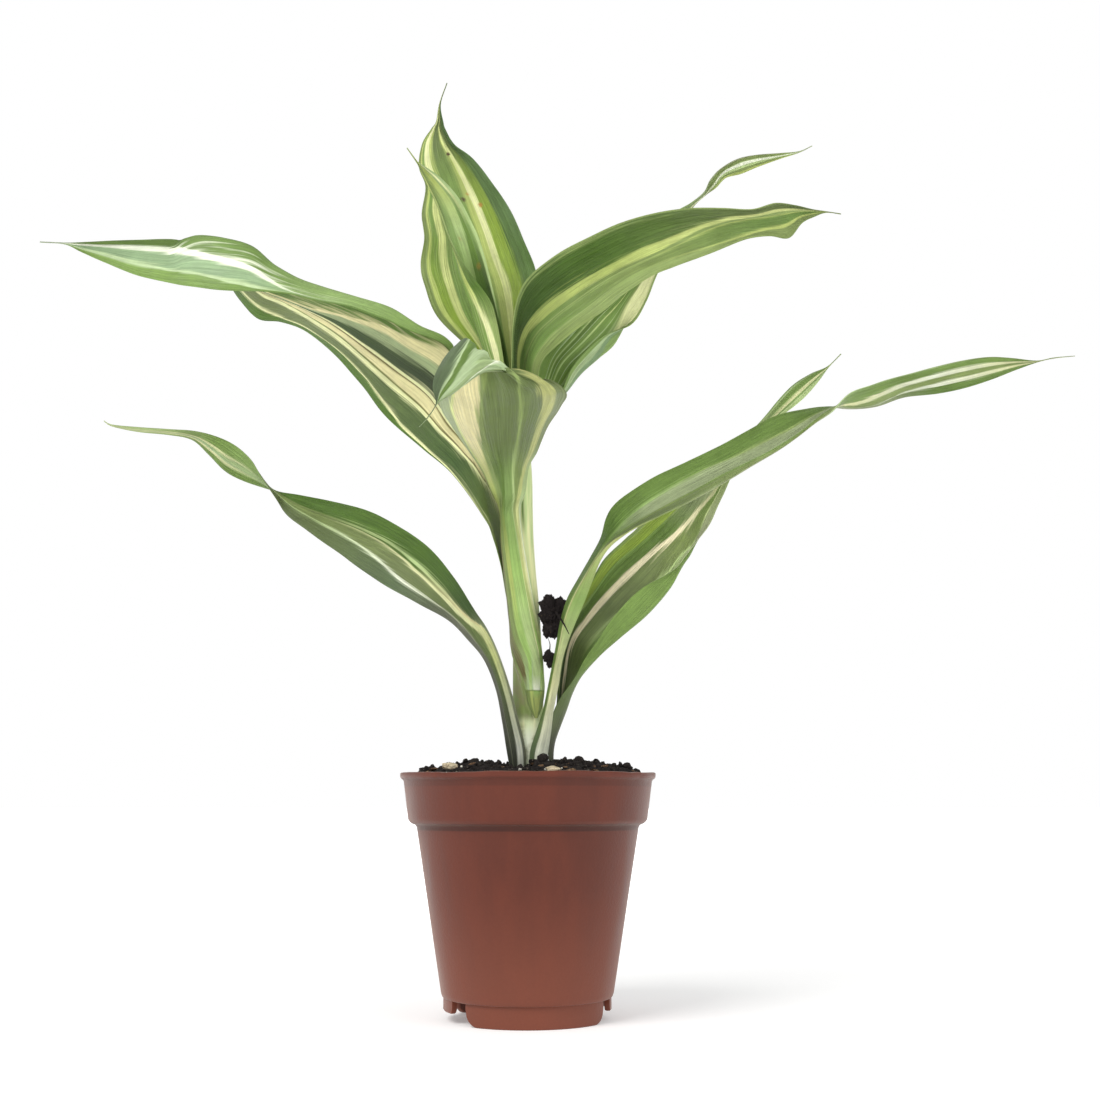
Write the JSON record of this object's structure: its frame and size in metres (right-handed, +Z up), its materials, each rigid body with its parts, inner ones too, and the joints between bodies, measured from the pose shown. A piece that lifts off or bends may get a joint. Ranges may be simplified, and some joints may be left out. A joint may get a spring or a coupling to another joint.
{
  "type": "potted lucky bamboo",
  "caption": "Young variegated lucky bamboo with long striped leaves, planted in a small round nursery pot filled with bark mix.",
  "frame": {"origin": "on the surface that the pot stands on, under the middle of the whole plant's box", "axes": "+Z up, +X along the plant's spread to its right as the picture shows it, +Y away from the viewer"},
  "size_m": [0.308, 0.1165, 0.3027],
  "materials": {
    "pot_plastic": "satin moulded terracotta-coloured plastic",
    "potting_mix": "rough, dark and crumbly, with light grains",
    "stem_green": "smooth waxy plant skin, pale green to whitish",
    "leaf_green": "satin leaf skin, green with cream and yellow stripes",
    "bark": "rough weathered bark and perlite"
  },
  "bodies": {
    "root": {"pot": "pot_plastic", "soil": "potting_mix", "stem": "stem_green", "leaf_upper_left": "leaf_green", "leaf_lower_left": "leaf_green", "leaf_top": "leaf_green", "leaf_young": "leaf_green", "leaf_upper_right": "leaf_green", "leaf_behind_right": "leaf_green", "leaf_crown_front": "leaf_green", "leaf_lower_right": "leaf_green", "leaf_right_broad": "leaf_green", "mix_clump_large": "potting_mix", "mix_clump_small": "potting_mix", "bark_chip_left": "bark", "bark_chip_front": "bark"}
  },
  "joints": []
}
